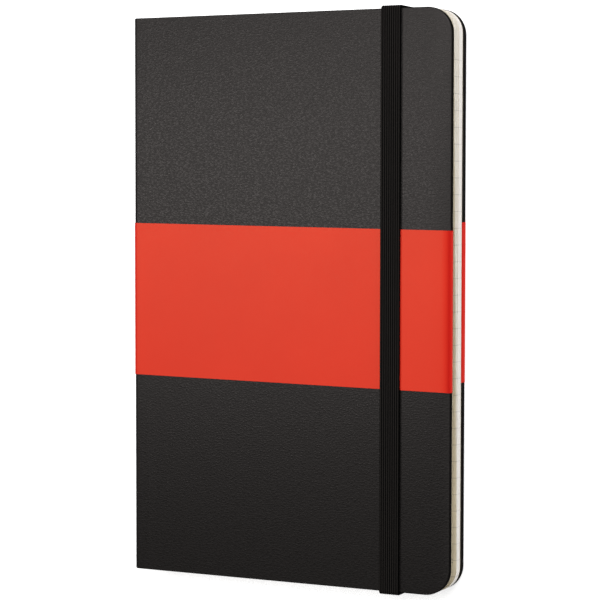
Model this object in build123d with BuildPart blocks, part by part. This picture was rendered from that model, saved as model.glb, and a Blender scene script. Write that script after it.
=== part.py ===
from build123d import *
from math import atan2, degrees, hypot
import os

os.makedirs("parts", exist_ok=True)

# The book lies on its back cover: +X to the fore-edge, +Y to the head, +Z out of the front cover
# Closed book, in millimetres
cover_width = 130.0
cover_height = 210.0
cover_corner = 9.5
cover_edge_round = 0.3
book_thickness = 14.0

# Boards, leatherette and endpapers of the case
skin_thick = 0.35
board_thick = 1.8
pastedown_thick = 0.15
pastedown_margin = 3.0
turn_in_width = 12.0
flyleaf_thick = 0.12

# Spine, and the joint where each cover folds
spine_strip_thick = 1.2
spine_round = 1.5
spine_hollow = 0.3
lining_thick = 0.25
lining_margin = 2.0
joint_width = 4.0
joint_gap = 2.8
joint_clear = 0.2

# Sewing across the backs of the leaves
thread_diameter = 0.25
thread_clear = 0.05
thread_pairs = 5
thread_pair_pitch = 38.0
thread_pair_gap = 6.0

# Leaves and the step-cut index, one tab for each letter and one for the last three
leaf_inset = 0.1
leaf_square = 0.3
leaf_corner = 8.6
leaf_gap = 0.02
notes_thick = 3.0
tab_names = list("abcdefghijklmnopqrstuvw") + ["xyz"]
tab_pitch = 8.11
tab_depth = 6.0
sections_ahead_of_ribbon = 12

# Card pocket inside the back cover
pocket_card_thick = 0.35
pocket_fold_height = 0.5
pocket_margin = 1.5
pocket_mouth_inset = 12.0
pocket_hem_width = 8.0
gusset_width = 10.0
gusset_clear = 0.3

# Ribbon bookmark, folded up inside the leaves
ribbon_width = 6.0
ribbon_thick = 0.14
ribbon_clear = 0.04
ribbon_head_inset = 5.0
ribbon_fold_inset = 38.6
ribbon_fold_rise = 16.2
ribbon_end_inset = 64.6
ribbon_end_rise = 70.2

# Elastic closing band, held in two slots of the back board
elastic_width = 7.6
elastic_thick = 1.0
elastic_inset = 23.1
elastic_clear = 0.05
elastic_bend = 0.9
slot_inset = 16.0
slot_clear = 0.15
tail_length = 14.0

# Paper band round the covers and spine, with a flap tucked inside each cover
band_thick = 0.18
band_clear = 0.03
band_height = 57.7
band_drop = 2.9
band_flap = 52.0
band_bend = 0.25

# Heights, counted from the table that the elastic's back runs lie on
cover_thick = skin_thick + board_thick + pastedown_thick
back_outside = elastic_thick
back_inside = back_outside + cover_thick
front_outside = back_outside + book_thickness
front_inside = front_outside - cover_thick
half_cover = cover_height / 2
half_leaf = half_cover - leaf_square

# Places along X
spine_outside = -cover_width / 2
fore_edge = cover_width / 2
lining_place = spine_outside + skin_thick + spine_strip_thick + spine_hollow
thread_axis = lining_place + lining_thick + thread_diameter / 2
leaf_back = thread_axis + thread_diameter / 2 + thread_clear
leaf_edge = fore_edge - leaf_inset
board_back = leaf_back + joint_width
cover_back = leaf_back + joint_gap
elastic_axis = fore_edge - elastic_inset

# The spine's leatherette ends short of the hinge line, where the open leaves stand
strip_end = leaf_back - joint_clear

# Stack from the back pastedown up to the index, and from the front pastedown down to it
pocket_card_low = back_inside + pocket_fold_height
back_flap_low = pocket_card_low + pocket_card_thick + band_clear
back_flyleaf_low = back_flap_low + band_thick + band_clear
notes_low = back_flyleaf_low + flyleaf_thick + leaf_gap
index_low = notes_low + notes_thick + leaf_gap
front_flap_low = front_inside - band_clear - band_thick
front_flyleaf_low = front_flap_low - band_clear - flyleaf_thick
index_high = front_flyleaf_low - leaf_gap
ribbon_room = 2 * (ribbon_thick + ribbon_clear)
section_pitch = (index_high - index_low - ribbon_room) / len(tab_names)
section_thick = section_pitch - leaf_gap
ribbon_low = index_high - sections_ahead_of_ribbon * section_pitch - ribbon_room + ribbon_clear
index_head = len(tab_names) * tab_pitch / 2


def rounded_plate(x_from, x_to, half_height, corner, level):
    """Outline of a cover or leaf at a height: square at the spine, round at the fore-edge."""
    with BuildSketch(Plane.XY.offset(level)) as outline:
        with Locations(((x_from + x_to) / 2, 0)):
            Rectangle(x_to - x_from, 2 * half_height)
        fillet(outline.vertices().group_by(Axis.X)[-1], corner)
    return outline.sketch


def strip_outline(x_from, x_to, y_from, y_to, level):
    """Plain rectangle at a height."""
    with BuildSketch(Plane.XY.offset(level)) as outline:
        with Locations(((x_from + x_to) / 2, (y_from + y_to) / 2)):
            Rectangle(x_to - x_from, y_to - y_from)
    return outline.sketch


def folded_strip(plane, points, bend, thick):
    """Cross-section of a sheet or webbing folded along the given centre line."""
    with BuildSketch(plane) as section:
        with BuildLine():
            FilletPolyline(*points, radius=bend)
        trace(line_width=thick)
    return section.sketch


def save(piece, label):
    """Name a finished piece and write it."""
    piece.part.label = label
    export_step(piece.part, f"parts/{label}.step")


# Front board, pressed in along three edges of its inner face to take the turned-in leatherette
board_edge = fore_edge - skin_thick
board_half = half_cover - skin_thick
board_corner = cover_corner - skin_thick
window_edge = fore_edge - turn_in_width
window_half = half_cover - turn_in_width
front_board_low = front_inside + pastedown_thick
with BuildPart() as front_board:
    extrude(
        rounded_plate(board_back, board_edge, board_half, board_corner, front_board_low + skin_thick),
        amount=board_thick - skin_thick,
    )
    extrude(
        strip_outline(board_back, window_edge, -window_half, window_half, front_board_low),
        amount=skin_thick,
    )
save(front_board, "front_board")

# Front leatherette: outer sheet, edges and turn-ins in one sheet round the board
with BuildPart() as front_skin:
    extrude(
        rounded_plate(board_back, fore_edge, half_cover, cover_corner, front_board_low),
        amount=board_thick + skin_thick,
    )
    front_face = front_skin.faces().sort_by(Axis.Z)[-1]
    fillet(front_face.edges().sort_by(Axis.X)[1:], cover_edge_round)
    add(front_board.part, mode=Mode.SUBTRACT)
    extrude(
        strip_outline(cover_back, board_back, -half_cover, half_cover, front_outside - skin_thick),
        amount=skin_thick,
    )
save(front_skin, "front_skin")

# Front pastedown, a margin in from the cover's edges
paste_edge = fore_edge - pastedown_margin
paste_half = half_cover - pastedown_margin
paste_corner = cover_corner - pastedown_margin
with BuildPart() as front_pastedown:
    extrude(
        rounded_plate(board_back, paste_edge, paste_half, paste_corner, front_inside),
        amount=pastedown_thick,
    )
save(front_pastedown, "front_pastedown")

# Elastic's route through a slot: along the outside, up through the board, then flat under the pastedown
slot_place = half_cover - slot_inset
tail_axis = back_inside - pastedown_thick - elastic_thick / 2
tail_route = (
    (half_cover + elastic_clear, elastic_thick / 2),
    (slot_place, elastic_thick / 2),
    (slot_place, tail_axis),
    (slot_place - tail_length, tail_axis),
)
tail_bend = elastic_thick / 2
elastic_side = Plane.YZ.offset(elastic_axis - elastic_width / 2)
with BuildPart() as elastic_tails:
    extrude(folded_strip(elastic_side, tail_route, tail_bend, elastic_thick), amount=elastic_width)
    mirror(about=Plane.XZ)
save(elastic_tails, "elastic_tails")

# Room for the elastic in the back board and leatherette: two slots, each with a shallow bed inside
slot_half_width = elastic_width / 2 + slot_clear
slot_outer = slot_place + elastic_thick / 2 + slot_clear
slot_inner = slot_place - elastic_thick / 2 - slot_clear
bed_end = slot_place - tail_length - slot_clear
with BuildPart() as elastic_room:
    extrude(
        strip_outline(
            elastic_axis - slot_half_width, elastic_axis + slot_half_width, slot_inner, slot_outer, 0
        ),
        amount=back_inside,
    )
    extrude(
        strip_outline(
            elastic_axis - slot_half_width,
            elastic_axis + slot_half_width,
            bed_end,
            slot_outer,
            tail_axis - elastic_thick / 2 - slot_clear,
        ),
        amount=back_inside,
    )
    mirror(about=Plane.XZ)

# Back board, the front one turned over and cut for the elastic
back_board_low = back_outside + skin_thick
back_board_high = back_inside - pastedown_thick
with BuildPart() as back_blank:
    extrude(
        rounded_plate(board_back, board_edge, board_half, board_corner, back_board_low),
        amount=board_thick - skin_thick,
    )
    extrude(
        strip_outline(
            board_back, window_edge, -window_half, window_half, back_board_high - skin_thick
        ),
        amount=skin_thick,
    )
with BuildPart() as back_board:
    add(back_blank.part)
    add(elastic_room.part, mode=Mode.SUBTRACT)
save(back_board, "back_board")

# Back leatherette round the board, with the same slots
with BuildPart() as back_skin:
    extrude(
        rounded_plate(board_back, fore_edge, half_cover, cover_corner, back_outside),
        amount=board_thick + skin_thick,
    )
    back_face = back_skin.faces().sort_by(Axis.Z)[0]
    fillet(back_face.edges().sort_by(Axis.X)[1:], cover_edge_round)
    add(back_blank.part, mode=Mode.SUBTRACT)
    add(elastic_room.part, mode=Mode.SUBTRACT)
    extrude(
        strip_outline(cover_back, board_back, -half_cover, half_cover, back_outside),
        amount=skin_thick,
    )
save(back_skin, "back_skin")

# Back pastedown, which hides the elastic's ends
with BuildPart() as back_pastedown:
    extrude(
        rounded_plate(board_back, paste_edge, paste_half, paste_corner, back_board_high),
        amount=pastedown_thick,
    )
save(back_pastedown, "back_pastedown")

# Spine leatherette, rounded over both outer edges
with BuildPart() as spine_skin:
    with BuildSketch(Plane.XZ) as spine_section:
        with Locations(((spine_outside + strip_end) / 2, (back_outside + front_outside) / 2)):
            Rectangle(strip_end - spine_outside, book_thickness)
        fillet(spine_section.vertices().group_by(Axis.X)[0], spine_round)
        with BuildSketch(mode=Mode.SUBTRACT) as spine_inside:
            with Locations(
                ((spine_outside + skin_thick + strip_end) / 2, (back_outside + front_outside) / 2)
            ):
                Rectangle(strip_end - spine_outside - skin_thick, book_thickness - 2 * skin_thick)
            fillet(spine_inside.vertices().group_by(Axis.X)[0], spine_round - skin_thick)
    extrude(amount=half_cover, both=True)
save(spine_skin, "spine_skin")

# Stiff spine strip, standing clear of the leatherette's rounded edges
strip_low = back_outside + spine_round
strip_high = front_outside - spine_round
with BuildPart() as spine_strip:
    extrude(
        strip_outline(
            spine_outside + skin_thick,
            spine_outside + skin_thick + spine_strip_thick,
            skin_thick - half_cover,
            half_cover - skin_thick,
            strip_low,
        ),
        amount=strip_high - strip_low,
    )
save(spine_strip, "spine_strip")

# Cloth lining across the backs of the leaves
with BuildPart() as spine_lining:
    extrude(
        strip_outline(
            lining_place,
            lining_place + lining_thick,
            lining_margin - half_leaf,
            half_leaf - lining_margin,
            back_inside,
        ),
        amount=front_inside - back_inside,
    )
save(spine_lining, "spine_lining")

# Sewing thread, a pair of stitches at each station across the backs of the leaves
with BuildPart() as sewing_thread:
    with BuildSketch(Plane.XY.offset(notes_low)):
        with Locations((thread_axis, 0)):
            with GridLocations(0, thread_pair_pitch, 1, thread_pairs):
                with GridLocations(0, thread_pair_gap, 1, 2):
                    Circle(thread_diameter / 2)
    extrude(amount=index_high - notes_low)
save(sewing_thread, "sewing_thread")

# Flyleaves and the plain leaves for notes, whole at the fore-edge
for label, low, thick in (
    ("front_flyleaf", front_flyleaf_low, flyleaf_thick),
    ("notes_leaves", notes_low, notes_thick),
    ("back_flyleaf", back_flyleaf_low, flyleaf_thick),
):
    with BuildPart() as whole_leaves:
        extrude(rounded_plate(leaf_back, leaf_edge, half_leaf, leaf_corner, low), amount=thick)
    save(whole_leaves, label)

# Index sections: each is cut back below its own tab, so that every tab behind it shows
for number, name in enumerate(tab_names):
    room_above = ribbon_room if number >= sections_ahead_of_ribbon else 0
    section_low = index_high - room_above - (number + 1) * section_pitch
    tab_foot = index_head - (number + 1) * tab_pitch
    with BuildPart() as section:
        extrude(
            rounded_plate(leaf_back, leaf_edge, half_leaf, leaf_corner, section_low),
            amount=section_thick,
        )
        extrude(
            strip_outline(leaf_edge - tab_depth, fore_edge, -half_cover, tab_foot, section_low),
            amount=section_thick,
            mode=Mode.SUBTRACT,
        )
    save(section, f"leaves_{name}")

# Pocket card, with its hem turned under and glued along the fore-edge, open towards the spine
pocket_edge = leaf_edge - pocket_margin
pocket_half = half_leaf - pocket_margin
pocket_mouth = leaf_back + pocket_mouth_inset
pocket_corner = leaf_corner - pocket_margin
with BuildPart() as pocket_card:
    extrude(
        rounded_plate(pocket_mouth, pocket_edge, pocket_half, pocket_corner, pocket_card_low),
        amount=pocket_card_thick,
    )
    extrude(
        strip_outline(
            pocket_edge - pocket_hem_width,
            pocket_edge,
            pocket_corner - pocket_half,
            pocket_half - pocket_corner,
            back_inside,
        ),
        amount=pocket_fold_height,
    )
save(pocket_card, "pocket_card")

# Cloth gussets, folded flat under the card at the head and the tail
gusset_edge = pocket_edge - pocket_hem_width - gusset_clear
with BuildPart() as head_gusset:
    extrude(
        strip_outline(pocket_mouth, gusset_edge, pocket_half - gusset_width, pocket_half, back_inside),
        amount=pocket_fold_height,
    )
save(head_gusset, "pocket_gusset_head")

with BuildPart() as tail_gusset:
    add(mirror(head_gusset.part, about=Plane.XZ, mode=Mode.PRIVATE))
save(tail_gusset, "pocket_gusset_tail")


def ribbon_leg(start, end, level):
    """One straight run of ribbon between two points of its centre line."""
    run_x = end[0] - start[0]
    run_y = end[1] - start[1]
    with BuildSketch(Plane.XY.offset(level)) as leg:
        with Locations(((start[0] + end[0]) / 2, (start[1] + end[1]) / 2)):
            Rectangle(hypot(run_x, run_y), ribbon_width, rotation=degrees(atan2(run_y, run_x)))
    return leg.sketch


# Ribbon bookmark: down from the head of the spine, then folded over itself and up again
ribbon_head_point = (leaf_back + ribbon_head_inset, half_leaf - ribbon_head_inset)
ribbon_fold_point = (leaf_back + ribbon_fold_inset, ribbon_fold_rise - half_leaf)
ribbon_end_point = (leaf_back + ribbon_end_inset, ribbon_end_rise - half_leaf)
with BuildPart() as ribbon:
    extrude(ribbon_leg(ribbon_head_point, ribbon_fold_point, ribbon_low), amount=ribbon_thick)
    extrude(
        ribbon_leg(ribbon_fold_point, ribbon_end_point, ribbon_low + ribbon_thick),
        amount=ribbon_thick,
    )
save(ribbon, "ribbon_bookmark")

# Elastic loop over the front cover and down past the head and tail edges
loop_side = half_cover + elastic_clear + elastic_thick / 2
loop_top = front_outside + 2 * band_clear + band_thick + elastic_thick / 2
loop_route = ((-loop_side, 0), (-loop_side, loop_top), (loop_side, loop_top), (loop_side, 0))
with BuildPart() as elastic_loop:
    extrude(folded_strip(elastic_side, loop_route, elastic_bend, elastic_thick), amount=elastic_width)
save(elastic_loop, "elastic_loop")

# Paper band: a panel and flap on each cover, and one panel round the spine
band_plane = Plane.XZ.offset(band_drop)
band_front_level = front_outside + band_clear + band_thick / 2
band_back_level = back_outside - band_clear - band_thick / 2
band_fore = fore_edge + band_clear + band_thick / 2
band_spine_place = spine_outside - band_clear - band_thick / 2
flap_end = fore_edge - band_flap
band_routes = {
    "band_front": (
        (cover_back, band_front_level),
        (band_fore, band_front_level),
        (band_fore, front_flap_low + band_thick / 2),
        (flap_end, front_flap_low + band_thick / 2),
    ),
    "band_spine": (
        (strip_end, band_front_level),
        (band_spine_place, band_front_level),
        (band_spine_place, band_back_level),
        (strip_end, band_back_level),
    ),
    "band_back": (
        (cover_back, band_back_level),
        (band_fore, band_back_level),
        (band_fore, back_flap_low + band_thick / 2),
        (flap_end, back_flap_low + band_thick / 2),
    ),
}
for label, route in band_routes.items():
    bend = spine_round + band_clear + band_thick / 2 if label == "band_spine" else band_bend
    with BuildPart() as band:
        extrude(folded_strip(band_plane, route, bend, band_thick), amount=band_height / 2, both=True)
    save(band, label)
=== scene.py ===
# %% [markdown]
# An address book lies on its back cover: +X runs from the spine to the fore-edge, +Y to the head, and +Z
# comes out of the front cover. Its solids arrive as a fixed frame in metres. The looks could be modelled
# by eye beside it, but then pieces would drift off their joints. So every piece here takes its place from
# the frame, and the script reads nothing else.

# %% Load the book
import random
from math import cos, degrees, pi, radians, sin

import bmesh
import bpy
from mathutils import Matrix, Vector


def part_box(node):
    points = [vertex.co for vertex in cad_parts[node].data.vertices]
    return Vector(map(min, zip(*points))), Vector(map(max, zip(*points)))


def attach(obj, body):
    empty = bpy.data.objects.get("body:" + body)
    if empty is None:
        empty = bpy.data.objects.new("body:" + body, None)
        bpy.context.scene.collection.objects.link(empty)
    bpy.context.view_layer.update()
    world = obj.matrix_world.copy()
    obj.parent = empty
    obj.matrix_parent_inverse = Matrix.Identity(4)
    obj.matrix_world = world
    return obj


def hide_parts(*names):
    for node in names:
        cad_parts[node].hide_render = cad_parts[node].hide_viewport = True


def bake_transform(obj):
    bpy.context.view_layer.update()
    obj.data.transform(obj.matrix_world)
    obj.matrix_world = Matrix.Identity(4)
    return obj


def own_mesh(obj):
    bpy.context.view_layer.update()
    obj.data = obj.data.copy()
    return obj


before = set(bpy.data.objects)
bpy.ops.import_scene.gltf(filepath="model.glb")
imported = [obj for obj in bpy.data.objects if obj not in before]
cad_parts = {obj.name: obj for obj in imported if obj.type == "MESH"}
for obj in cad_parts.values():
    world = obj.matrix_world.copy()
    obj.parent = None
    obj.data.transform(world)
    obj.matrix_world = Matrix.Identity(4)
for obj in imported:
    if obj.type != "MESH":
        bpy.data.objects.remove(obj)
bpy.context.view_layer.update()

MM = 0.001

# %% [markdown]
# A few places are read from the solids once, and every piece below is worked out from them. Typed numbers
# would be quicker to write, but this way a change of the book's size moves the looks along with it.

# %% Places read from the solids
front_low, front_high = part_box("front_skin")
back_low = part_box("back_skin")[0]
spine_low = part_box("spine_skin")[0]
leaf_low, leaf_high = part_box("leaves_a")
board_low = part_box("front_board")[0]
fore_edge = front_high[0]
half_cover = front_high[1]
front_face = front_high[2]
back_face = back_low[2]
spine_face = spine_low[0]
middle = (front_face + back_face) / 2
half_thick = (front_face - back_face) / 2
leaf_back = leaf_low[0]
leaf_edge = leaf_high[0]
half_leaf = leaf_high[1]
board_back = board_low[0]
cover_depth = front_face - front_low[2]

# %% [markdown]
# Each finish is a small node tree. Patterns could be laid on by unfolding every mesh. Here they are
# placed by where a point lies while the book is shut, which needs no unfolding. Pieces that bend carry
# that place with them in an attribute, so a grain or a ruled line doesn't swim when the book opens; the
# rigid solids can use their own object coordinates, which never change.

# %% Helpers for finishes
REST = "rest_place"
EDGE = "cut_edge"


class Finish:
    """A material's node tree, with short calls for the few nodes that these finishes need."""

    def __init__(self, name, rigid=False):
        self.material = bpy.data.materials.new(name)
        self.material.use_nodes = True
        self.tree = self.material.node_tree
        self.shader = self.tree.nodes["Principled BSDF"]
        if rigid:
            self.place = self.tree.nodes.new("ShaderNodeTexCoord").outputs["Object"]
        else:
            reader = self.tree.nodes.new("ShaderNodeAttribute")
            reader.attribute_name = REST
            self.place = reader.outputs["Vector"]

    def add(self, kind, inputs=None, **settings):
        node = self.tree.nodes.new(kind)
        for key, value in settings.items():
            setattr(node, key, value)
        for key, value in (inputs or {}).items():
            if hasattr(value, "is_output"):
                self.tree.links.new(value, node.inputs[key])
            else:
                node.inputs[key].default_value = value
        return node

    def stretched(self, scale):
        return self.add("ShaderNodeMapping", {"Vector": self.place, "Scale": scale}).outputs["Vector"]

    def noise(self, scale, detail, place=None):
        inputs = {"Vector": place or self.place, "Scale": scale, "Detail": detail}
        return self.add("ShaderNodeTexNoise", inputs).outputs["Fac"]

    def pebbles(self, scale, place):
        inputs = {"Vector": place, "Scale": scale, "Smoothness": 0.6}
        return self.add("ShaderNodeTexVoronoi", inputs, feature="SMOOTH_F1").outputs["Distance"]

    def waves(self, scale, direction, distortion):
        inputs = {"Vector": self.place, "Scale": scale, "Distortion": distortion}
        return self.add("ShaderNodeTexWave", inputs, bands_direction=direction).outputs["Fac"]

    def maths(self, operation, first, second):
        return self.add("ShaderNodeMath", {0: first, 1: second}, operation=operation).outputs["Value"]

    def ramp(self, factor, stops):
        node = self.add("ShaderNodeValToRGB", {"Fac": factor})
        points = node.color_ramp.elements
        while len(points) < len(stops):
            points.new(0.5)
        for point, (position, colour) in zip(points, stops):
            point.position = position
            point.color = (*colour, 1.0)
        return node.outputs["Color"]

    def mix(self, factor, first, second):
        node = self.add("ShaderNodeMix", data_type="RGBA")
        for socket, value in zip((node.inputs[0], node.inputs[6], node.inputs[7]), (factor, first, second)):
            if hasattr(value, "is_output"):
                self.tree.links.new(value, socket)
            else:
                socket.default_value = (*value, 1.0) if isinstance(value, tuple) else value
        return node.outputs[2]

    def bump(self, height, distance, strength):
        inputs = {"Height": height, "Distance": distance, "Strength": strength}
        return self.add("ShaderNodeBump", inputs).outputs["Normal"]

    def finish(self, **sockets):
        for key, value in sockets.items():
            socket = self.shader.inputs[key.replace("_", " ")]
            if hasattr(value, "is_output"):
                self.tree.links.new(value, socket)
            else:
                socket.default_value = value
        return self.material


print("finish helpers:", len([name for name in vars(Finish) if not name.startswith("_")]))

# %% [markdown]
# The cover is a black leatherette: a coated sheet embossed with a fine grain, with a soft satin sheen. A
# picture of leather could be laid on it, but a pattern worked out from noise stays sharp at any distance.
# Cells and wrinkles, wider than high, make the grain. It lifts the surface and drives the roughness too,
# so the crests shine and the valleys stay dull, and a slow drift in tone keeps it from looking like plain
# plastic.

# %% Leatherette
CELLS_PER_METRE = 1900.0
WRINKLES_PER_METRE = 2700.0
GRAIN_STRETCH = (0.50, 1.0, 1.0)
GRAIN_DEPTH = 0.13 * MM
BLACK_LIGHT = (0.0088, 0.0079, 0.0074)
BLACK_DARK = (0.0062, 0.0055, 0.0052)
BLACK_VALLEY = (0.0033, 0.0029, 0.0027)
DULL_VALLEY = 0.50
SATIN_CREST = 0.34
WARM_SHEEN = (1.0, 0.92, 0.89, 1.0)


def leatherette_finish():
    f = Finish("black leatherette")
    wide = f.stretched(GRAIN_STRETCH)
    cells = f.pebbles(CELLS_PER_METRE, wide)
    wrinkles = f.noise(WRINKLES_PER_METRE, 1.0, wide)
    drift = f.noise(14.0, 2.0)
    grain = f.maths("SUBTRACT", f.maths("MULTIPLY", wrinkles, 0.8), cells)
    tone = f.mix(f.maths("MULTIPLY", drift, 0.6), BLACK_DARK, BLACK_LIGHT)
    tone = f.mix(f.maths("MULTIPLY", cells, 0.5), tone, BLACK_VALLEY)
    height = f.maths("ADD", grain, 0.5)
    rough = f.ramp(height, [(0.30, (DULL_VALLEY,) * 3), (0.75, (SATIN_CREST,) * 3)])
    normal = f.bump(grain, GRAIN_DEPTH, 0.35)
    return f.finish(
        Base_Color=tone, Roughness=rough, Normal=normal, Specular_IOR_Level=0.40, Specular_Tint=WARM_SHEEN
    )


leatherette = leatherette_finish()
print("finish:", leatherette.name)

# %% [markdown]
# Paper is never one flat cream: its fibres cloud a little, ruled lines cross the writing pages, and the
# cut edges of the block show the separate leaves as fine lines. Hundreds of thin leaves could be
# modelled, but they would be slow and too fine to see, so waves in the material stand for them. A face
# attribute tells cut edges from pages.

# %% Papers
RULING = 5.975 * MM
RULING_START = 2.65 * MM
RULING_HEAD = 88.0 * MM
RULING_HALF_LINE = 0.16 * MM
RULING_INK = (0.34, 0.31, 0.26)
LEAF = 0.085 * MM
PAPER_LIGHT = (0.75, 0.68, 0.53)
PAPER_DARK = (0.70, 0.63, 0.48)
EDGE_LIGHT = (0.83, 0.80, 0.775)
EDGE_DARK = (0.66, 0.62, 0.56)
CARD_LIGHT = (0.74, 0.68, 0.55)
CARD_DARK = (0.69, 0.63, 0.50)
BOARD_LIGHT = (0.34, 0.32, 0.28)
BOARD_DARK = (0.27, 0.25, 0.22)


def leaf_finish(name, ink_share):
    """Writing paper; its cut edges show the separate leaves and the ends of the ruled lines."""
    f = Finish(name)
    cloud = f.noise(160.0, 4.0)
    page = f.ramp(cloud, [(0.35, PAPER_DARK), (0.65, PAPER_LIGHT)])
    jitter = f.noise(55.0, 2.0, f.stretched((1.0, 1.0, 60.0)))
    leaves = f.waves(2 * pi / (20.0 * LEAF), "Z", 1.5)
    edge = f.ramp(leaves, [(0.1, EDGE_DARK), (0.6, EDGE_LIGHT)])
    edge = f.mix(f.maths("MULTIPLY", jitter, 0.25), edge, EDGE_DARK)
    height = f.add("ShaderNodeSeparateXYZ", {"Vector": f.place}).outputs["Y"]
    phase = f.maths("PINGPONG", f.maths("SUBTRACT", height, RULING_START), RULING / 2)
    line = f.maths("LESS_THAN", phase, RULING_HALF_LINE)
    line = f.maths("MULTIPLY", line, f.maths("LESS_THAN", height, RULING_HEAD))
    page = f.mix(f.maths("MULTIPLY", line, 0.45), page, RULING_INK)
    edge = f.mix(f.maths("MULTIPLY", line, ink_share), edge, RULING_INK)
    trimmed = f.add("ShaderNodeAttribute", attribute_name=EDGE).outputs["Fac"]
    fibres = f.noise(2600.0, 3.0)
    normal = f.bump(fibres, 0.01 * MM, 0.3)
    return f.finish(Base_Color=f.mix(trimmed, page, edge), Roughness=0.86, Normal=normal)


def plain_paper_finish(name, light, dark, rigid):
    """Unprinted paper or board, clouded, with fibres that run along the book."""
    f = Finish(name, rigid)
    cloud = f.noise(120.0, 4.0)
    fibres = f.noise(1900.0, 4.0, f.stretched((1.0, 0.35, 1.0)))
    tone = f.ramp(cloud, [(0.35, dark), (0.65, light)])
    tone = f.mix(f.maths("MULTIPLY", fibres, 0.12), tone, tuple(0.6 * c for c in light))
    normal = f.bump(fibres, 0.012 * MM, 0.35)
    return f.finish(Base_Color=tone, Roughness=0.84, Normal=normal)


leaf_paper = leaf_finish("index leaf", 0.34)
notes_paper = leaf_finish("notes leaf", 0.20)
flyleaf_paper = plain_paper_finish("flyleaf paper", PAPER_LIGHT, PAPER_DARK, rigid=False)
endpaper = plain_paper_finish("cream endpaper", PAPER_LIGHT, PAPER_DARK, rigid=True)
pocket_stock = plain_paper_finish("pocket card", CARD_LIGHT, CARD_DARK, rigid=True)
greyboard = plain_paper_finish("grey board", BOARD_LIGHT, BOARD_DARK, rigid=True)
print("finishes:", leaf_paper.name, flyleaf_paper.name, endpaper.name, pocket_stock.name, greyboard.name)

# %% [markdown]
# The loose band is coated paper in a strong red with a soft shine. Where it turns over the fore-edge it
# turns away from the light and looks deeper and duller. A wider bend would show that in the lighting, but
# the paper lies close on the board, so near the fold the red is painted shade, and the roughness rises
# there so the shine fades.

# %% Red paper
RED_LIGHT = (0.82, 0.016, 0.007)
RED_DARK = (0.78, 0.013, 0.006)
RED_SHEEN = (1.0, 0.95, 0.55, 1.0)
FOLD_FAR = 3.6 * MM
FOLD_NEAR = 0.6 * MM
FOLD_SHADE_RED = (0.60, 0.003, 0.003)
FOLD_MATT = 0.95


def red_finish():
    f = Finish("red paper")
    cloud = f.noise(30.0, 3.0)
    fibres = f.noise(2400.0, 3.0)
    tone = f.ramp(cloud, [(0.3, RED_DARK), (0.7, RED_LIGHT)])
    rough = f.ramp(fibres, [(0.3, (0.40,) * 3), (0.7, (0.50,) * 3)])
    across = f.add("ShaderNodeSeparateXYZ", {"Vector": f.place}).outputs["X"]
    reach = {"Value": across, "From Min": fore_edge - FOLD_FAR, "From Max": fore_edge - FOLD_NEAR}
    fold = f.add("ShaderNodeMapRange", reach).outputs["Result"]
    # painted shade: the red deepens towards the fold, where the paper turns away from the light
    tone = f.mix(f.maths("POWER", fold, 3.0), tone, FOLD_SHADE_RED)
    rough = f.mix(fold, rough, (FOLD_MATT,) * 3)
    normal = f.bump(fibres, 0.008 * MM, 0.25)
    return f.finish(
        Base_Color=tone, Roughness=rough, Normal=normal, Specular_IOR_Level=0.5, Specular_Tint=RED_SHEEN
    )


red_paper = red_finish()
print("finish:", red_paper.name)

# %% [markdown]
# The elastic is a knitted rubber tape, and the ribbon, gussets, lining and thread are woven or twisted
# yarn. Yarns could be modelled one by one, but these are too fine to show singly, so two sets of waves
# cross in their place. The elastic takes its tone from where a point lies across its ribs: a little paler
# on the ribs, with painted shade darkening the grooves between them.

# %% Elastic and cloths
def cloth_finish(name, light, dark, yarn, roughness, rigid=False):
    """Yarns of one pitch that cross along and across the book."""
    f = Finish(name, rigid)
    per_wave = pi / 10.0
    warp = f.waves(per_wave / yarn, "Y", 0.4)
    weft = f.waves(per_wave / yarn, "X", 0.4)
    weave = f.maths("MULTIPLY", f.maths("ADD", warp, weft), 0.5)
    fluff = f.noise(3000.0, 3.0)
    tone = f.ramp(weave, [(0.15, dark), (0.75, light)])
    tone = f.mix(f.maths("MULTIPLY", fluff, 0.2), tone, tuple(0.5 * c for c in dark))
    normal = f.bump(weave, 0.05 * MM, 0.6)
    return f.finish(Base_Color=tone, Roughness=roughness, Normal=normal, Specular_IOR_Level=0.12)


RIBS = 9
KNIT_RIB = (0.0240, 0.0205, 0.0185)
GROOVE_SHADE = (0.0002, 0.0002, 0.0001)
KNIT_STITCH = (0.0020, 0.0017, 0.0016)
loop_low, loop_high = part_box("elastic_loop")
rib_pitch = (loop_high[0] - loop_low[0]) / RIBS


def elastic_finish():
    """Black knit over rubber cords, a little paler on the ribs; painted shade darkens the grooves."""
    f = Finish("elastic knit")
    across = f.add("ShaderNodeSeparateXYZ", {"Vector": f.place}).outputs["X"]
    rib = f.maths("PINGPONG", f.maths("SUBTRACT", across, loop_low[0]), rib_pitch / 2)
    rib = f.maths("DIVIDE", rib, rib_pitch / 2)
    stitches = f.noise(2600.0, 2.0, f.stretched((1.0, 0.5, 1.0)))
    # painted shade: the grooves between the ribs go nearly black, as if in shadow
    tone = f.ramp(rib, [(0.32, GROOVE_SHADE), (0.88, KNIT_RIB)])
    tone = f.mix(f.maths("MULTIPLY", stitches, 0.5), tone, KNIT_STITCH)
    normal = f.bump(stitches, 0.05 * MM, 0.4)
    return f.finish(Base_Color=tone, Roughness=0.8, Normal=normal, Specular_IOR_Level=0.10)


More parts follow.
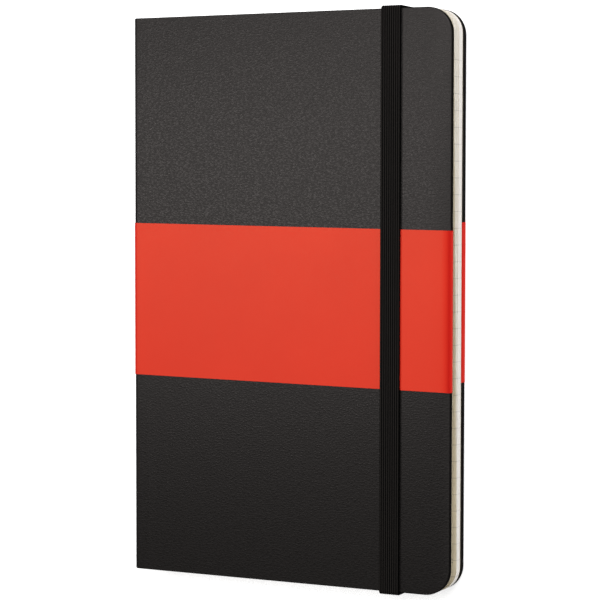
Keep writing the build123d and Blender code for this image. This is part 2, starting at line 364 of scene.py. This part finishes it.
RIBBON_YARN = 0.3 * MM
GUSSET_YARN = 0.4 * MM
LINING_YARN = 0.6 * MM
THREAD_TWIST = 0.2 * MM
elastic_knit = elastic_finish()
ribbon_satin = cloth_finish("ribbon satin", (0.040, 0.040, 0.043), (0.020, 0.020, 0.022), RIBBON_YARN, 0.42)
gusset_cloth = cloth_finish("gusset cloth", (0.050, 0.050, 0.052), (0.025, 0.025, 0.026), GUSSET_YARN, 0.85)
lining_cloth = cloth_finish("lining cloth", (0.80, 0.77, 0.69), (0.62, 0.58, 0.50), LINING_YARN, 0.88)
thread_yarn = cloth_finish(
    "thread yarn", (0.82, 0.79, 0.72), (0.60, 0.56, 0.48), THREAD_TWIST, 0.8, rigid=True
)
cloths = (elastic_knit, ribbon_satin, gusset_cloth, lining_cloth, thread_yarn)
print("finishes:", [cloth.name for cloth in cloths])

# %% [markdown]
# The boards, pastedowns, pocket card and thread neither bend nor show a finer form than their solids
# have. They could be modelled again here, but that would gain nothing, so they only get a finish.

# %% Finish the solids that stay
SOLID_FINISHES = {
    greyboard: ("front_board", "back_board", "spine_strip"),
    endpaper: ("front_pastedown", "back_pastedown"),
    pocket_stock: ("pocket_card",),
    thread_yarn: ("sewing_thread",),
}
for finish, nodes in SOLID_FINISHES.items():
    for node in nodes:
        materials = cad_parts[node].data.materials
        materials.clear()
        materials.append(finish)
print("solids finished:", sum(len(nodes) for nodes in SOLID_FINISHES.values()))

# %% [markdown]
# Every mesh is built with bmesh and made into a piece by one helper. Blender's operators could do it as
# well, but what they do depends on what is selected. The helper also stores each point's place in the
# shut book, drops the normals that a copied solid brings along, and smooths the shading, apart from sharp
# edges.

# %% A piece from a mesh
SMOOTH_ANGLE = radians(40)
WELD = 1e-4 * MM


def as_piece(name, bm, finish):
    """A finished piece from a bmesh, with its rest places stored and its shading smoothed."""
    bmesh.ops.recalc_face_normals(bm, faces=bm.faces)
    mesh = bpy.data.meshes.new(name)
    bm.to_mesh(mesh)
    bm.free()
    copied_normals = mesh.attributes.get("custom_normal")
    if copied_normals:
        mesh.attributes.remove(copied_normals)
    mesh.materials.append(finish)
    mesh.shade_smooth()
    mesh.set_sharp_from_angle(angle=SMOOTH_ANGLE)
    places = mesh.attributes.new(REST, "FLOAT_VECTOR", "POINT")
    places.data.foreach_set("vector", [c for v in mesh.vertices for c in v.co])
    piece = bpy.data.objects.new(name, mesh)
    bpy.context.scene.collection.objects.link(piece)
    return piece


print("edges sharper than", round(degrees(SMOOTH_ANGLE)), "degrees stay sharp")

# %% [markdown]
# Tape and paper strips follow a folded route: straight runs with rounded corners. A curve with a bevel
# could make them too, but here the script chooses where a strip has its columns, and so where it can
# bend.

# %% Strips along a folded route
ARC_STEPS = 8


def folded_route(points, radii, spacings):
    """Places and directions along a route of straight runs with rounded corners, in a plane."""
    stops = []
    start = Vector(points[0])
    for k, corner in enumerate(points[1:]):
        corner = Vector(corner)
        along = (corner - start).normalized()
        radius = radii[k] if k < len(points) - 2 else 0.0
        trim, arc = 0.0, []
        if radius:
            leaving = (Vector(points[k + 2]) - corner).normalized()
            turn = along.angle_signed(leaving)
            trim = radius * abs(sin(turn / 2) / cos(turn / 2))
            sense = -1.0 if turn > 0 else 1.0
            side = Vector((-along.y, along.x)) * sense
            centre = corner - along * trim + side * radius
            for step in range(1, ARC_STEPS + 1):
                spin = Matrix.Rotation(-turn * step / ARC_STEPS, 2)
                arc.append((centre - spin @ side * radius, spin @ along))
        run_end = corner - along * trim
        steps = max(1, round((run_end - start).length / spacings[k]))
        first = 0 if not stops else 1
        stops += [(start.lerp(run_end, s / steps), along) for s in range(first, steps + 1)]
        stops += arc
        start = stops[-1][0]
    return stops


def swept_strip(name, stations, across, section, finish):
    """A closed strip: the section's (offset across, lift outwards) points carried along the stations."""
    bm = bmesh.new()
    rings = []
    for place, outward in stations:
        rings.append([bm.verts.new(place + across * u + outward * lift) for u, lift in section])
    count = len(section)
    for one, two in zip(rings, rings[1:]):
        for k in range(count):
            bm.faces.new((one[k], one[(k + 1) % count], two[(k + 1) % count], two[k]))
    bm.faces.new(rings[0])
    bm.faces.new(rings[-1])
    return as_piece(name, bm, finish)


print("steps in a rounded corner:", ARC_STEPS)

# %% [markdown]
# The case is covered by one sheet of leatherette that runs round the spine, bends at the joints and is
# turned in over the boards. Its outline and the profile of its edge could be typed as points. Worked out
# from radii and depths, they follow the book's size.

# %% Outline and edge of the case
SPINE_ROUND = 1.5 * MM
COVER_CORNER = 9.5 * MM
TURN_IN = 12.0 * MM
EDGE_ROUND = 0.32 * MM
EDGE_ROUND_LIMIT = 0.4
UNDER_ROUND_SHARE = 0.7
SPINE_DEPTH = 1.58 * MM
JOINT_DEPTH = 0.5 * MM
DEPTH_LIMIT = 0.85 * SPINE_ROUND
WALL_STEPS = 4
ROUND_STEPS = 8
JOINT_STEPS = 12
STRAIGHT_STEPS = 16
CORNER_STEPS = 12
PROFILE_STEPS = 4
joint_start = spine_face + SPINE_ROUND
joint_end = board_back


def outline_stations():
    """Half outline from mid-spine to the fore-edge: place, inward way in plan, inward normal, depth."""
    stations = []
    wall = half_thick - SPINE_ROUND
    head = Vector((0.0, -1.0, 0.0))
    fore = Vector((1.0, 0.0, 0.0))
    for k in range(WALL_STEPS):
        stations.append((Vector((spine_face, half_cover, wall * k / WALL_STEPS)), head, fore, SPINE_DEPTH))
    for k in range(ROUND_STEPS + 1):
        angle = pi - pi / 2 * k / ROUND_STEPS
        way = Vector((cos(angle), 0.0, sin(angle)))
        centre = Vector((joint_start, half_cover, wall))
        depth = SPINE_DEPTH + (JOINT_DEPTH - SPINE_DEPTH) * k / ROUND_STEPS
        stations.append((centre + way * SPINE_ROUND, head, -way, min(depth, DEPTH_LIMIT)))
    down = Vector((0.0, 0.0, -1.0))
    for k in range(1, JOINT_STEPS + 1):
        x = joint_start + (joint_end - joint_start) * k / JOINT_STEPS
        depth = cover_depth if k == JOINT_STEPS else JOINT_DEPTH
        stations.append((Vector((x, half_cover, half_thick)), head, down, depth))
    straight_end = fore_edge - COVER_CORNER
    for k in range(1, STRAIGHT_STEPS + 1):
        x = joint_end + (straight_end - joint_end) * k / STRAIGHT_STEPS
        stations.append((Vector((x, half_cover, half_thick)), head, down, cover_depth))
    for k in range(1, CORNER_STEPS + 1):
        angle = pi / 2 - pi / 2 * k / CORNER_STEPS
        way = Vector((cos(angle), sin(angle), 0.0))
        centre = Vector((straight_end, half_cover - COVER_CORNER, half_thick))
        stations.append((centre + way * COVER_CORNER, -way, down, cover_depth))
    return stations


def edge_profile(depth):
    """Cover edge from the outer face round to the turn-in: inset and depth of each point."""
    outer = min(EDGE_ROUND, EDGE_ROUND_LIMIT * depth)
    inner = outer * UNDER_ROUND_SHARE
    angles = [pi / 2 * k / PROFILE_STEPS for k in range(PROFILE_STEPS + 1)]
    rounds = [(outer * (1 - sin(a)), outer * (1 - cos(a))) for a in angles]
    under = [(inner * (1 - cos(a)), depth - inner * (1 - sin(a))) for a in angles]
    return rounds + under + [(TURN_IN, depth)]


print("stations round half the outline:", len(outline_stations()))

# %% [markdown]
# Two rounded boxes would look like the covers while the book is shut, but they couldn't bend at the
# joints. So the sheet is two halves that meet along the middle of the spine. Each half is a band of edge
# profiles carried round the outline and closed by strips from head to tail, which gives the joint the
# columns it needs.

# %% Leatherette of the case
def case_half(name, side):
    """One half of the case; side is 1 for the front and -1 for the back."""
    bm = bmesh.new()
    loops = {1: [], -1: []}
    for end in (1, -1):
        for place, inset_way, inward, depth in outline_stations():
            column = []
            for inset, sunk in edge_profile(depth):
                p = place + inset_way * inset + inward * sunk
                column.append(bm.verts.new((p.x, p.y * end, middle + p.z * side)))
            loops[end].append(column)
    head, tail = loops[1], loops[-1]
    for rows in (head, tail):
        for one, two in zip(rows, rows[1:]):
            for k in range(len(one) - 1):
                bm.faces.new((one[k], two[k], two[k + 1], one[k + 1]))
    for k in range(len(head) - 1):
        bm.faces.new((head[k][0], tail[k][0], tail[k + 1][0], head[k + 1][0]))
        bm.faces.new((head[k][-1], head[k + 1][-1], tail[k + 1][-1], tail[k][-1]))
    last = len(head[0]) - 1
    for k in range(last):
        bm.faces.new((head[-1][k], tail[-1][k], tail[-1][k + 1], head[-1][k + 1]))
    bm.faces.new(head[0] + tail[0][::-1])
    return as_piece(name, bm, leatherette)


front_case = case_half("front_leatherette", 1)
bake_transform(front_case)
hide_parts("front_skin", "spine_skin")
back_case = case_half("back_leatherette", -1)
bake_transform(back_case)
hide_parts("back_skin")
print("case faces:", len(front_case.data.polygons), len(back_case.data.polygons))

# %% [markdown]
# Every letter has its own few leaves, cut back below its tab. Their outlines are already right in the
# solids, but turned stiffly they would come away from the spine. So each piece is a copy that gets extra
# cuts near the spine: there a leaf leaves the sewing square to the spine and then curls over to lie flat.
# Leaves nearer the covers curl in less room than those by the ribbon. A solid's faces arrive loose, so
# they are welded first; only a closed mesh has a sure outside.

# %% Leaves of the block
LETTERS = list("abcdefghijklmnopqrstuvw") + ["xyz"]
AHEAD_OF_RIBBON = 12
CURL_SHORT = 4.0 * MM
CURL_LONG = 17.0 * MM
CURL_CUTS = 22
STRAY = 0.12 * MM
PAGE_FACING = 0.5
rng = random.Random(7)


def leaf_piece(name, node, body, curl, finish, slot):
    """Copy of a leaf solid, cut for the curl at the spine and marked where its edges were trimmed."""
    bm = bmesh.new()
    bm.from_mesh(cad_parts[node].data)
    bmesh.ops.remove_doubles(bm, verts=bm.verts, dist=WELD)
    for k in range(1, CURL_CUTS + 1):
        cut = Vector((leaf_back + curl * k / CURL_CUTS, 0, 0))
        geometry = bm.verts[:] + bm.edges[:] + bm.faces[:]
        bmesh.ops.bisect_plane(bm, geom=geometry, dist=WELD, plane_co=cut, plane_no=(1, 0, 0))
    pull = STRAY * rng.random()
    for v in bm.verts:
        if v.co.x > leaf_back + curl + MM:
            v.co.x -= pull
    piece = as_piece(name, bm, finish)
    edges = piece.data.attributes.new(EDGE, "FLOAT", "FACE")
    edges.data.foreach_set("value", [float(abs(p.normal.z) < PAGE_FACING) for p in piece.data.polygons])
    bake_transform(piece)
    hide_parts(node)
    return piece


curls = {}
for number, letter in enumerate(LETTERS):
    if number < AHEAD_OF_RIBBON:
        share = (number + 1) / AHEAD_OF_RIBBON
    else:
        share = (len(LETTERS) - number) / (len(LETTERS) - AHEAD_OF_RIBBON)
    curls[letter] = CURL_SHORT + (CURL_LONG - CURL_SHORT) * share
    names = (f"pages_{letter}", f"leaves_{letter}", f"section_{letter}")
    leaf_piece(*names, curls[letter], leaf_paper, "leaf_paper")
leaf_piece("flyleaf_front", "front_flyleaf", "front_leaf", CURL_SHORT, flyleaf_paper, "endpaper")
leaf_piece("flyleaf_back", "back_flyleaf", "end_leaves", CURL_SHORT, flyleaf_paper, "endpaper")
leaf_piece("pages_notes", "notes_leaves", "end_leaves", CURL_SHORT, notes_paper, "leaf_paper")
print("leaf pieces:", len(LETTERS) + 3)

# %% [markdown]
# The tabs carry their letters on both sides, as an index does. Letters could be drawn in the paper's
# finish, but text objects give clean outlines, and turned into thin meshes they ride on their own leaves.

# %% Letters on the tabs
TAB_PITCH = 8.11 * MM
TAB_DEPTH = 6.0 * MM
LETTER_SIZE = 3.8 * MM
GROUP_SIZE = 2.2 * MM
INK_THICK = 0.004 * MM
INK_LIFT = 0.002 * MM
INK_LIGHT = (0.09, 0.088, 0.085)
INK_DARK = (0.05, 0.05, 0.055)
LETTER_REACH = 0.6


def ink_finish():
    f = Finish("printing ink")
    mottle = f.noise(2500.0, 3.0)
    tone = f.ramp(mottle, [(0.3, INK_DARK), (0.7, INK_LIGHT)])
    return f.finish(Base_Color=tone, Roughness=0.7)


ink = ink_finish()
index_head = len(LETTERS) * TAB_PITCH / 2
tab_centre = leaf_edge - TAB_DEPTH * LETTER_REACH


def letter_mesh(words, size):
    """Flat outline mesh of a few letters, centred on its own origin."""
    curve = bpy.data.curves.new("letters", "FONT")
    curve.body = words
    curve.size = size
    curve.align_x = "CENTER"
    curve.align_y = "CENTER"
    curve.extrude = INK_THICK / 2
    holder = bpy.data.objects.new("letters", curve)
    bpy.context.scene.collection.objects.link(holder)
    bpy.context.view_layer.update()
    mesh = bpy.data.meshes.new_from_object(holder.evaluated_get(bpy.context.evaluated_depsgraph_get()))
    bpy.data.objects.remove(holder)
    return mesh


for number, letter in enumerate(LETTERS):
    low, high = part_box(f"leaves_{letter}")
    size = LETTER_SIZE if len(letter) == 1 else GROUP_SIZE
    y = index_head - (number + 0.5) * TAB_PITCH
    outline = letter_mesh(letter.upper(), size)
    bm = bmesh.new()
    for level, flip in ((high[2] + INK_LIFT, 0.0), (low[2] - INK_LIFT, pi)):
        bm.from_mesh(outline)
        fresh = bm.verts[len(bm.verts) // 2:] if flip else bm.verts[:]
        turn = Matrix.Translation((tab_centre, y, level)) @ Matrix.Rotation(flip, 4, "Y")
        bmesh.ops.transform(bm, matrix=turn, verts=fresh)
    bmesh.ops.remove_doubles(bm, verts=bm.verts, dist=WELD)
    tab_letter = as_piece(f"tab_letter_{letter}", bm, ink)
    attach(tab_letter, f"section_{letter}")
print("tab letters:", len(LETTERS))

# %% [markdown]
# The ribbon is sewn in at the head of the spine, lies between two sections, and is folded back on itself
# so that it stays inside the shut book. A cloth simulation could lay it, but pressed between pages it has
# no folds of its own. So it is two flat runs, which end on the same fold line, along the sum of their
# directions.

# %% Ribbon bookmark
RIBBON_WIDTH = 6.0 * MM
RIBBON_THICK = 0.13 * MM
RIBBON_CUTS = 120
RIBBON_ROWS = 8
RIBBON_POINTS = [(5.0 * MM, -5.0 * MM), (38.6 * MM, 16.2 * MM), (64.6 * MM, 70.2 * MM)]
ribbon_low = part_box("ribbon_bookmark")[0]
head_point = Vector((leaf_back + RIBBON_POINTS[0][0], half_leaf + RIBBON_POINTS[0][1]))
fold_point = Vector((leaf_back + RIBBON_POINTS[1][0], RIBBON_POINTS[1][1] - half_leaf))
end_point = Vector((leaf_back + RIBBON_POINTS[2][0], RIBBON_POINTS[2][1] - half_leaf))
way_down = (fold_point - head_point).normalized()
way_back = (end_point - fold_point).normalized()
fold_way = (way_down + way_back).normalized()


def ribbon_run(bm, start, way, end, level, fold_first):
    """One flat run of ribbon whose folded end is cut along the fold line."""
    side = Vector((-way.y, way.x))
    fold_normal = Vector((-fold_way.y, fold_way.x))
    offsets = [RIBBON_WIDTH * (k / RIBBON_ROWS - 0.5) for k in range(RIBBON_ROWS + 1)]
    rings = []
    for step in range(RIBBON_CUTS + 1):
        low, high = [], []
        for offset in offsets:
            shift = -(side * offset).dot(fold_normal) / way.dot(fold_normal)
            one = start + side * offset + way * (shift if fold_first else 0.0)
            two = end + side * offset + way * (0.0 if fold_first else shift)
            spot = one.lerp(two, step / RIBBON_CUTS)
            low.append(bm.verts.new((spot.x, spot.y, level)))
            high.append(bm.verts.new((spot.x, spot.y, level + RIBBON_THICK)))
        rings.append(low + high[::-1])
    count = len(rings[0])
    for one, two in zip(rings, rings[1:]):
        for k in range(count):
            bm.faces.new((one[k], one[(k + 1) % count], two[(k + 1) % count], two[k]))
    bm.faces.new(rings[0])
    bm.faces.new(rings[-1])


bm = bmesh.new()
ribbon_run(bm, head_point, way_down, fold_point, ribbon_low[2], False)
ribbon_run(bm, fold_point, way_back, end_point, ribbon_low[2] + RIBBON_THICK, True)
ribbon = as_piece("ribbon", bm, ribbon_satin)
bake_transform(ribbon)
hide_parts("ribbon_bookmark")
runs = [(fold_point - head_point).length, (end_point - fold_point).length]
print("ribbon runs in mm:", [round(run / MM) for run in runs])

# %% [markdown]
# The elastic is a knitted tape with rubber cords in it, which show as ribs along its length. Bump could
# draw the ribs, but not at the tape's bends and ends, so a ribbed section is swept over the front cover
# and down past the head and tail. The real loop stretches as it is drawn round to the back of the open
# book; here it swings and is squashed flat.

# %% Elastic closing band
RIB_HEIGHT = 0.22 * MM
RIB_STEPS = 6
RIB_FULLNESS = 0.6
ELASTIC_BEND = 0.9 * MM
SHORT_STEP = 2.0 * MM
LONG_STEP = 4.0 * MM
tail_low, tail_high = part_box("elastic_tails")
elastic_centre = (loop_low[0] + loop_high[0]) / 2
elastic_half = (loop_high[0] - loop_low[0]) / 2
elastic_thick = loop_high[1] - tail_high[1]
along_x = Vector((1.0, 0.0, 0.0))


def elastic_section(share=1.0):
    """Ribbed outside and plain inside of the tape, at a share of its thickness."""
    steps = RIBS * RIB_STEPS
    outer = []
    for k in range(steps + 1):
        u = -elastic_half + 2 * elastic_half * k / steps
        rib = abs(sin(pi * k / RIB_STEPS)) ** RIB_FULLNESS
        outer.append((u, share * (elastic_thick / 2 - RIB_HEIGHT * (1.0 - rib))))
    inner = [(elastic_half, -share * elastic_thick / 2), (-elastic_half, -share * elastic_thick / 2)]
    return outer + inner


def elastic_stations(points, radii, spacings):
    """Stations of a route in the plane across the covers, with the outside of the tape to its left."""
    stations = []
    for place, along in folded_route(points, radii, spacings):
        outward = Vector((0.0, -along.y, along.x))
        stations.append((Vector((elastic_centre, place.x, place.y)), outward))
    return stations


loop_y = loop_high[1] - elastic_thick / 2
loop_z = loop_high[2] - elastic_thick / 2
loop_points = [(-loop_y, loop_low[2]), (-loop_y, loop_z), (loop_y, loop_z), (loop_y, loop_low[2])]
loop_stations = elastic_stations(loop_points, [ELASTIC_BEND] * 2, [SHORT_STEP, LONG_STEP, SHORT_STEP])
elastic_loop = swept_strip("elastic_band", loop_stations, along_x, elastic_section(), elastic_knit)
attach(elastic_loop, "elastic")
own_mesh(elastic_loop)
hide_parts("elastic_loop")
print("elastic width in mm:", round(2 * elastic_half / MM, 2))

# %% [markdown]
# Behind the book two short runs of the same tape go into slots in the back board and are glued down
# inside. They could be one mesh with the loop, but they stay with the back cover while the loop swings.
# So they are pieces of their own, a little thinner than the loop, which leaves it room behind the open
# book.

# %% Ends of the elastic
SLOT_INSET = 16.0 * MM
TAIL_LENGTH = 14.0 * MM
TAIL_SHARE = 0.85
TAIL_ROOM = 0.05 * MM
TAIL_BEND = 0.55 * elastic_thick
slot_y = half_cover - SLOT_INSET
tail_z = tail_high[2] - elastic_thick / 2
bottom_z = tail_low[2] + elastic_thick * (1.0 - TAIL_SHARE / 2)
for name, end in (("elastic_tail_head", 1), ("elastic_tail_foot", -1)):
    points = [
        (end * (tail_high[1] - TAIL_ROOM), bottom_z),
        (end * slot_y, bottom_z),
        (end * slot_y, tail_z),
        (end * (slot_y - TAIL_LENGTH), tail_z),
    ]
    stations = elastic_stations(points, [TAIL_BEND] * 2, [SHORT_STEP, MM, SHORT_STEP])
    stations = [(place, outward * end) for place, outward in stations]
    tail = swept_strip(name, stations, along_x, elastic_section(TAIL_SHARE), elastic_knit)
    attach(tail, "back_cover")
    if end == 1:
        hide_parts("elastic_tails")
print("slots from the cover's edge in mm:", round((half_cover - slot_y) / MM, 1))

# %% [markdown]
# The loose paper band goes round both covers and the spine, and its ends are tucked inside the covers. It
# could be one long strip, but a piece can bend between two bodies only. So it is two strips that meet
# behind the spine, and each bends over one joint, at the same columns as the leatherette under it. Being
# loose, the band sits a little askew: it climbs from the front fore-edge round the spine to the back.

# %% Paper band
BAND_THICK = 0.18 * MM
BAND_BEND = 0.75 * MM
BAND_FLAP = 52.0 * MM
BAND_ROWS = 14
PANEL_STEP = 8.0 * MM
EDGE_STEP = 0.5 * MM
ASKEW_AT_SPINE = 1.6 * MM
ASKEW_SLOPES = {1: -0.0135, -1: 0.0085}
band_low, band_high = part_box("band_front")
band_spine_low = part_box("band_spine")[0]
band_back_low, band_back_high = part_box("band_back")
band_middle = (band_low[1] + band_high[1]) / 2
band_half = (band_high[1] - band_low[1]) / 2
along_y = Vector((0.0, 1.0, 0.0))


def band_section():
    """Paper's thickness over the height of the band."""
    places = [-band_half + 2 * band_half * k / BAND_ROWS for k in range(BAND_ROWS + 1)]
    return [(u, BAND_THICK / 2) for u in places] + [(u, -BAND_THICK / 2) for u in reversed(places)]


def band_strip(name, outer_level, flap_level, fore, flap_end, side):
    """One strip of the band from mid-spine round a cover; side is 1 for the front and -1 for the back."""
    spine_x = band_spine_low[0] + BAND_THICK / 2
    points = [(spine_x, middle), (spine_x, outer_level), (joint_end, outer_level)]
    points += [(fore, outer_level), (fore, flap_level), (flap_end, flap_level)]
    radii = [SPINE_ROUND + spine_face - spine_x, 0.0, BAND_BEND, BAND_BEND]
    joint_spacing = (joint_end - joint_start) / JOINT_STEPS
    spacings = [MM, joint_spacing, PANEL_STEP, EDGE_STEP, PANEL_STEP]
    stations = []
    for place, along in folded_route(points, radii, spacings):
        outward = Vector((-along.y, 0.0, along.x)) * side
        askew = ASKEW_AT_SPINE + ASKEW_SLOPES[side] * (place.x - spine_x)
        stations.append((Vector((place.x, band_middle + askew, place.y)), outward))
    return swept_strip(name, stations, along_y, band_section(), red_paper)


band_front = band_strip(
    "paper_band_front_strip",
    band_high[2] - BAND_THICK / 2,
    band_low[2] + BAND_THICK / 2,
    band_high[0] - BAND_THICK / 2,
    band_high[0] - BAND_FLAP,
    1,
)
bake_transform(band_front)
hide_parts("band_front", "band_spine")
band_back = band_strip(
    "paper_band_back_strip",
    band_back_low[2] + BAND_THICK / 2,
    band_back_high[2] - BAND_THICK / 2,
    band_back_high[0] - BAND_THICK / 2,
    band_back_high[0] - BAND_FLAP,
    -1,
)
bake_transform(band_back)
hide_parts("band_back")
print("band height in mm:", round(2 * band_half / MM, 1))

# %% [markdown]
# The pocket inside the back cover has two gussets, strips of cloth folded once. A cloth simulation could
# crease them, but the pocket stays shut, so each is a swept strip with one flat fold.

# %% Gussets of the pocket
GUSSET_THICK = 0.12 * MM
GUSSET_BEND = 0.18 * MM
GUSSET_STEPS = [1.5 * MM, 0.2 * MM, 1.5 * MM]
GUSSET_SET_BACK = 0.06
for name, node in (("gusset_head", "pocket_gusset_head"), ("gusset_tail", "pocket_gusset_tail")):
    low, high = (Vector(corner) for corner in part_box(node))
    outside = high.y if high.y > 0 else low.y
    inside = low.y if high.y > 0 else high.y
    levels = [high.z - GUSSET_THICK / 2, low.z + GUSSET_THICK / 2]
    lip = outside + (inside - outside) * GUSSET_SET_BACK
    points = [(inside, levels[0]), (lip, levels[0]), (lip, levels[1]), (inside, levels[1])]
    centre = (low.x + high.x) / 2
    stations = []
    for place, along in folded_route(points, [GUSSET_BEND] * 2, GUSSET_STEPS):
        stations.append((Vector((centre, place.x, place.y)), Vector((0.0, -along.y, along.x))))
    reach = (high.x - low.x) / 2
    section = [(-reach, GUSSET_THICK / 2), (reach, GUSSET_THICK / 2)]
    section += [(reach, -GUSSET_THICK / 2), (-reach, -GUSSET_THICK / 2)]
    gusset = swept_strip(name, stations, along_x, section, gusset_cloth)
    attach(gusset, "back_cover")
    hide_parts(node)
print("gusset reach in mm:", round(2 * reach / MM, 1))

# %% [markdown]
# A strip of thin cloth is glued over the backs of the leaves. A flat plate could stand for it, but glued
# cloth sinks in a little between the covers, so it is swept along a shallow hollow curve.

# %% Spine lining
LINING_STEPS = 10
LINING_HOLLOW = 0.08 * MM
LINING_HALF_THICK = 0.08 * MM
low, high = (Vector(corner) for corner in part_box("spine_lining"))
centre = (low.x + high.x) / 2
stations = []
for k in range(LINING_STEPS + 1):
    t = k / LINING_STEPS
    hollow = sin(pi * t) * LINING_HOLLOW
    stations.append((Vector((centre + hollow, 0.0, low.z + (high.z - low.z) * t)), -along_x))
half_lining = (high.y - low.y) / 2
section = [(-half_lining, LINING_HALF_THICK), (half_lining, LINING_HALF_THICK)]
section += [(half_lining, -LINING_HALF_THICK), (-half_lining, -LINING_HALF_THICK)]
lining = swept_strip("lining", stations, along_y, section, lining_cloth)
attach(lining, "spine")
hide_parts("spine_lining")
print("lining height in mm:", round(2 * half_lining / MM, 1))

# %% [markdown]
# The book lies on white, with nothing behind it. A studio would hang a sheet of paper that curves up
# behind the book. Here a pale floor and a round backdrop glow a little instead, which keeps the picture
# pale from any side without flooding the covers with light. Neither shows in reflections, so the covers'
# edges stay dark.

# %% Floor and backdrop
FLOOR_HALF = 6.0
FLOOR_GLOW = 0.7
WALL_RADIUS = 5.5
WALL_HEIGHT = 6.0
WALL_SUNK = 0.05
WALL_SIDES = 96
WALL_GLOW = 0.8


def studio_finish(name, glow):
    f = Finish(name, rigid=True)
    mottle = f.noise(6.0, 2.0)
    tone = f.ramp(mottle, [(0.3, (0.90,) * 3), (0.7, (0.92,) * 3)])
    white = (1.0, 1.0, 1.0, 1.0)
    return f.finish(Base_Color=tone, Roughness=0.9, Emission_Color=white, Emission_Strength=glow)


def studio_piece(name, bm, finish):
    """A piece of the studio from a bmesh, kept out of reflections."""
    mesh = bpy.data.meshes.new(name)
    bm.to_mesh(mesh)
    bm.free()
    mesh.materials.append(finish)
    piece = bpy.data.objects.new(name, mesh)
    bpy.context.scene.collection.objects.link(piece)
    piece.visible_glossy = False
    return piece


bm = bmesh.new()
bmesh.ops.create_grid(bm, x_segments=2, y_segments=2, size=FLOOR_HALF)
floor = studio_piece("floor", bm, studio_finish("pale floor", FLOOR_GLOW))

bm = bmesh.new()
bmesh.ops.create_cone(
    bm, cap_ends=False, segments=WALL_SIDES, radius1=WALL_RADIUS, radius2=WALL_RADIUS, depth=WALL_HEIGHT
)
bmesh.ops.translate(bm, verts=bm.verts, vec=(0.0, 0.0, WALL_HEIGHT / 2 - WALL_SUNK))
wall_finish = studio_finish("pale backdrop", WALL_GLOW)
wall_finish.cycles.emission_sampling = "NONE"
wall = studio_piece("backdrop", bm, wall_finish)
wall.visible_diffuse = False
wall.visible_shadow = False
print("stage:", floor.name, wall.name)

# %% [markdown]
# Three square soft lights shine on the book. One wide lamp could light it all, but each of these has its
# own task. The sheen light stands where the front cover mirrors it to the camera and gives the satin its
# soft fall-off. The head light is the general light. The fore-edge light brightens the cut leaves and is
# kept out of reflections. A faint sky fills the shadows; below the horizon it is nearly black.

# %% Lights
SKY_STRENGTH = 0.11
SKY_LOW = (0.02, 0.02, 0.02, 1.0)
SKY_RISE = 0.05


def soft_light(name, place, size, power):
    """A square soft light that faces the book."""
    light = bpy.data.lights.new(name, "AREA")
    light.shape = "SQUARE"
    light.size = size
    light.energy = power
    holder = bpy.data.objects.new(name, light)
    holder.location = place
    holder.rotation_euler = (-Vector(place)).to_track_quat("-Z", "Y").to_euler()
    bpy.context.scene.collection.objects.link(holder)
    return holder


soft_light("sheen light", place=(-0.38, 0.11, 0.75), size=0.36, power=1.85)
soft_light("head light", place=(0.25, 0.60, 1.00), size=0.8, power=9.9)
edge_light = soft_light("fore-edge light", place=(1.10, 0.10, 0.25), size=0.6, power=2.3)
edge_light.visible_glossy = False

world = bpy.data.worlds.new("studio")
world.use_nodes = True
sky = world.node_tree
direction = sky.nodes.new("ShaderNodeTexCoord").outputs["Generated"]
height = sky.nodes.new("ShaderNodeSeparateXYZ")
sky.links.new(direction, height.inputs["Vector"])
fade = sky.nodes.new("ShaderNodeValToRGB")
fade.color_ramp.elements[0].color = SKY_LOW
fade.color_ramp.elements[1].position = SKY_RISE
sky.links.new(height.outputs["Z"], fade.inputs["Fac"])
sky.links.new(fade.outputs["Color"], sky.nodes["Background"].inputs["Color"])
sky.nodes["Background"].inputs["Strength"].default_value = SKY_STRENGTH
bpy.context.scene.world = world
bpy.context.scene.view_settings.view_transform = "Standard"

# %% [markdown]
# The camera's place came from fitting the cover's four straight edges: it looks from the fore-edge's
# side, with the head of the book upwards in the picture and a very slight roll. A constraint could aim it
# at the book, but nearly straight above a table it may turn the picture round. Turning by matrices keeps
# the head up.

# %% Camera
CAMERA_PLACE = (0.3459, 0.0394, 0.7060)
CAMERA_YAW = radians(26.222)
CAMERA_PITCH = radians(-2.941)
CAMERA_ROLL = radians(0.084)
CAMERA_LENS = 126.16
CAMERA_SENSOR = 36.0
camera_data = bpy.data.cameras.new("camera")
camera_data.lens = CAMERA_LENS
camera_data.sensor_width = CAMERA_SENSOR
camera = bpy.data.objects.new("camera", camera_data)
turn = Matrix.Rotation(CAMERA_YAW, 4, "Y") @ Matrix.Rotation(CAMERA_PITCH, 4, "X")
turn = turn @ Matrix.Rotation(CAMERA_ROLL, 4, "Z")
camera.matrix_world = Matrix.Translation(CAMERA_PLACE) @ turn
bpy.context.scene.collection.objects.link(camera)
bpy.context.scene.camera = camera
print("camera lens:", CAMERA_LENS)

# %% [markdown]
